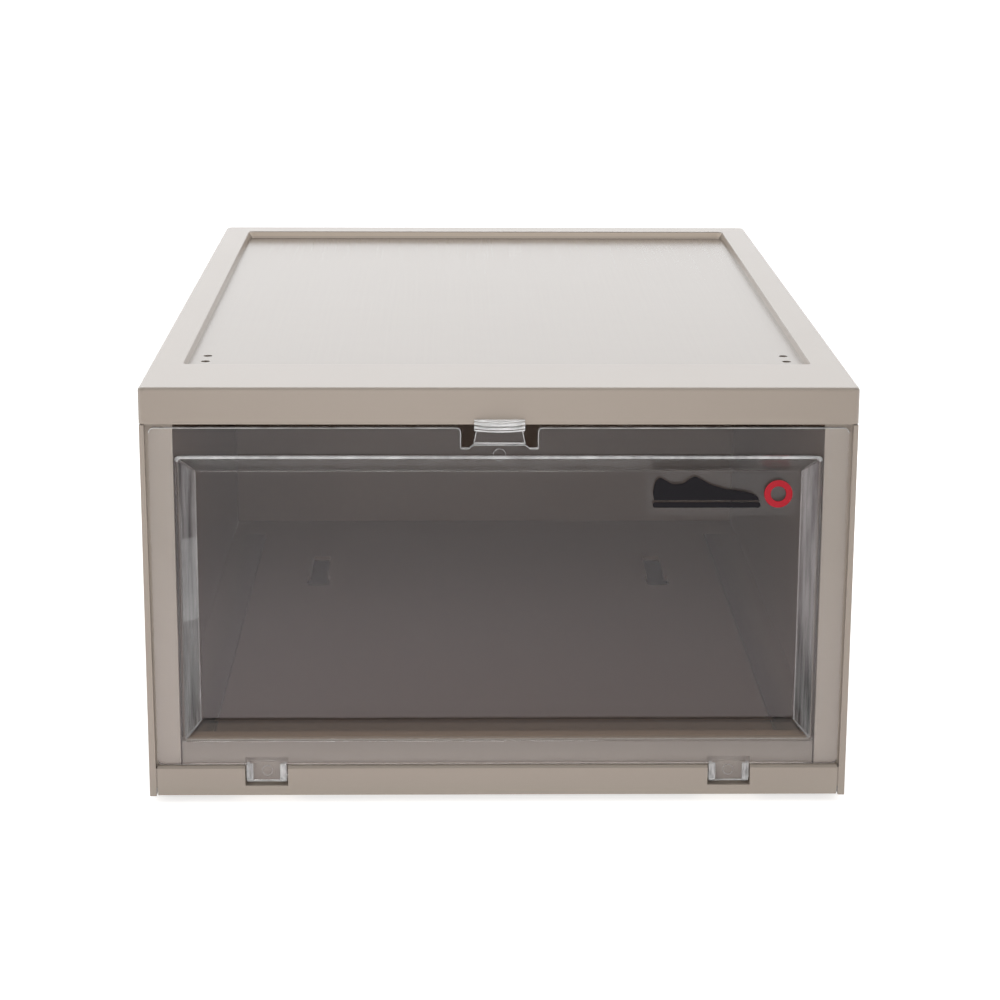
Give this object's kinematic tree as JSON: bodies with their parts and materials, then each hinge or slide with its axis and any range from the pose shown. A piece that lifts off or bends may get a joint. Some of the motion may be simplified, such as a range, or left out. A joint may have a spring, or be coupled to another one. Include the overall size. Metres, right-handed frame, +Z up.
{
  "type": "shoe box",
  "caption": "Stacking storage box with a clear drop-down front door on low hinge tabs, a flexing latch tab and a recessed top cover.",
  "frame": {"origin": "middle of the underside, at the centre of the bounding box's bottom", "axes": "+X across to the box's right as seen from the front, +Y from the door to the back, +Z up; the door faces -Y"},
  "size_m": [0.23, 0.3496, 0.14],
  "materials": {
    "taupe_plastic": "satin moulded polypropylene, warm grey",
    "clear_plastic": "clear polished moulded plastic",
    "label_film": "thin clear film with a grey and red print"
  },
  "bodies": {
    "case": {"base_panel": "taupe_plastic", "left_side_panel": "taupe_plastic", "right_side_panel": "taupe_plastic", "back_panel": "taupe_plastic", "top_cover": "taupe_plastic"},
    "door": {"door": "clear_plastic", "door_label": "label_film"},
    "latch_tab": {"latch_tab": "clear_plastic"}
  },
  "joints": [
    {"name": "door_hinge", "type": "hinge", "parent": "case", "child": "door", "pos_m": [0, -0.169, 0.009], "axis": [1, 0, 0], "range_deg": [0, 90]},
    {"name": "latch_flexure", "type": "hinge", "parent": "door", "child": "latch_tab", "pos_m": [0, -0.1702, 0.1216], "axis": [1, 0, 0], "range_deg": [0, 8], "stiffness_Nm_per_rad": 0.25}
  ]
}
